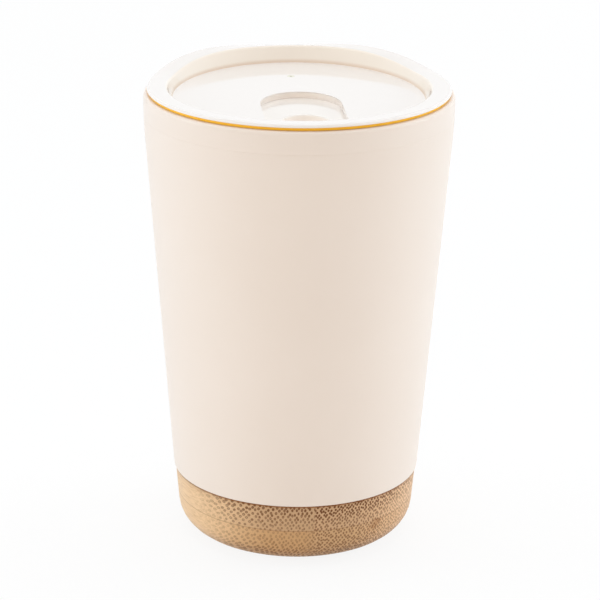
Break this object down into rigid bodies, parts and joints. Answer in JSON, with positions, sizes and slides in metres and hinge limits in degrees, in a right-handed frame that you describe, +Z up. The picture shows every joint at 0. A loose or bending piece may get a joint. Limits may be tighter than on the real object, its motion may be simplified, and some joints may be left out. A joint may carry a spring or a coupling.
{
  "type": "insulated tumbler",
  "caption": "Double-wall insulated drinking tumbler with a turned bamboo base and a press-in lid that has a raised back rim and a sliding shutter.",
  "frame": {"origin": "centre of the underside, on the surface that the cup stands on", "axes": "+Z up the axis of the cup, -Y towards the drinking side of the lid, +Y towards its raised rim, +X to the right of someone facing the drinking side"},
  "size_m": [0.086, 0.086, 0.1329],
  "materials": {
    "shell_coat": "satin powder coat, warm ivory",
    "plain_steel": "plain stainless steel",
    "solder_glass": "fused bead",
    "liner_steel": "brushed stainless steel",
    "foil": "bright foil",
    "getter_metal": "dull sintered metal in a steel cup",
    "collar_plastic": "satin, same ivory as the shell",
    "bamboo": "turned bamboo, satin oil",
    "bond_silicone": "matte",
    "foot_silicone": "matte",
    "lid_plastic": "gloss white",
    "tray_plastic": "gloss white",
    "seal_silicone": "honey orange, matte",
    "shutter_plastic": "gloss white",
    "pad_silicone": "honey orange, matte"
  },
  "bodies": {
    "cup": {"outer_shell": "shell_coat", "bottom_cap": "plain_steel", "vacuum_plug": "solder_glass", "inner_liner": "liner_steel", "heat_foil": "foil", "getter": "getter_metal", "rim_collar": "collar_plastic", "bamboo_base": "bamboo", "bond_ring": "bond_silicone", "foot_ring": "foot_silicone"},
    "lid": {"lid_top": "lid_plastic", "lid_tray": "tray_plastic", "lid_seal": "seal_silicone"},
    "shutter": {"shutter": "shutter_plastic", "shutter_seal": "pad_silicone"}
  },
  "joints": [
    {"name": "lid_lift", "type": "slide", "parent": "cup", "child": "lid", "axis": [0, 0, 1], "range_m": [0, 0.06]},
    {"name": "shutter_slide", "type": "slide", "parent": "lid", "child": "shutter", "axis": [0, 0.9992, 0.0401], "range_m": [0, 0.0103]}
  ]
}
